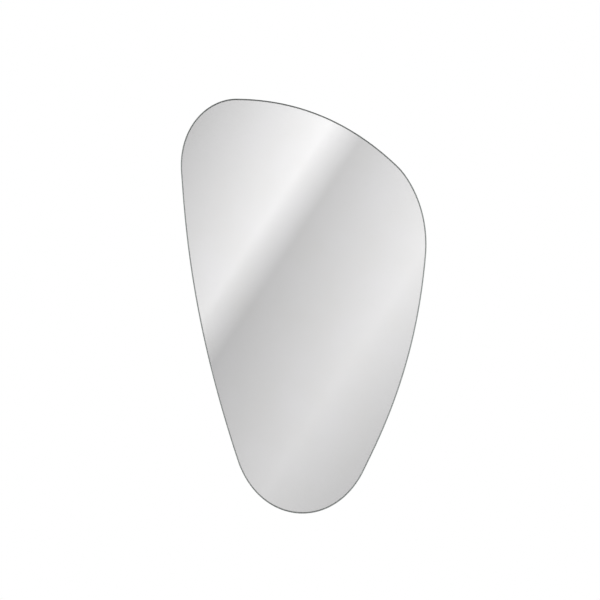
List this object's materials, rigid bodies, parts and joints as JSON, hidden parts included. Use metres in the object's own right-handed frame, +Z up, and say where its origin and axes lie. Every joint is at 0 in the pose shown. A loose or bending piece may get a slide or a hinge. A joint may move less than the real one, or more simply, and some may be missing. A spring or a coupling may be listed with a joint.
{
  "type": "irregular wall mirror",
  "caption": "Frameless wall mirror with an irregular pebble outline and polished edge, hung by pressed steel plates on off-centre levelling discs, with rubber-footed spacers below.",
  "frame": {"origin": "on the wall plane, midway between the two wall screws, straight above the pane's centre of gravity", "axes": "+Z up, +X to the right as seen from the front, +Y into the wall; the mirror faces -Y"},
  "size_m": [0.4502, 0.0589, 0.7601],
  "materials": {
    "float_glass": "clear float glass, edge polished, arrises ground satin",
    "silver": "chemically deposited silver",
    "back_paint": "curtain-coated protective lacquer, satin",
    "foam_tape": "closed-cell foam, matt",
    "zinc_plated_steel": "pressed sheet, bright zinc plated",
    "spacer_plastic": "injection moulded, fine texture",
    "foot_rubber": "moulded, matt",
    "disc_nylon": "injection moulded, satin",
    "screw_steel": "zinc plated",
    "plug_nylon": "injection moulded, satin"
  },
  "bodies": {
    "wall_fixings": {"left_wall_plug": "plug_nylon", "right_wall_plug": "plug_nylon", "left_wall_screw": "screw_steel", "right_wall_screw": "screw_steel", "left_screw_washer": "zinc_plated_steel", "right_screw_washer": "zinc_plated_steel"},
    "left_disc": {"left_levelling_disc": "disc_nylon"},
    "right_disc": {"right_levelling_disc": "disc_nylon"},
    "mirror": {"glass_pane": "float_glass", "silver_layer": "silver", "back_paint": "back_paint", "left_plate_tape": "foam_tape", "right_plate_tape": "foam_tape", "left_hanging_plate": "zinc_plated_steel", "right_hanging_plate": "zinc_plated_steel", "left_spacer_tape": "foam_tape", "right_spacer_tape": "foam_tape", "left_spacer": "spacer_plastic", "right_spacer": "spacer_plastic", "left_spacer_foot": "foot_rubber", "right_spacer_foot": "foot_rubber"}
  },
  "joints": [
    {"name": "mirror_lift", "type": "slide", "parent": "wall_fixings", "child": "mirror", "axis": [0, 0, 1], "range_m": [0, 0.008]},
    {"name": "left_disc_turn", "type": "hinge", "parent": "wall_fixings", "child": "left_disc", "pos_m": [-0.1, 0, 0], "axis": [0, 1, 0], "continuous": true},
    {"name": "right_disc_turn", "type": "hinge", "parent": "wall_fixings", "child": "right_disc", "pos_m": [0.1, 0, 0], "axis": [0, 1, 0], "continuous": true}
  ]
}
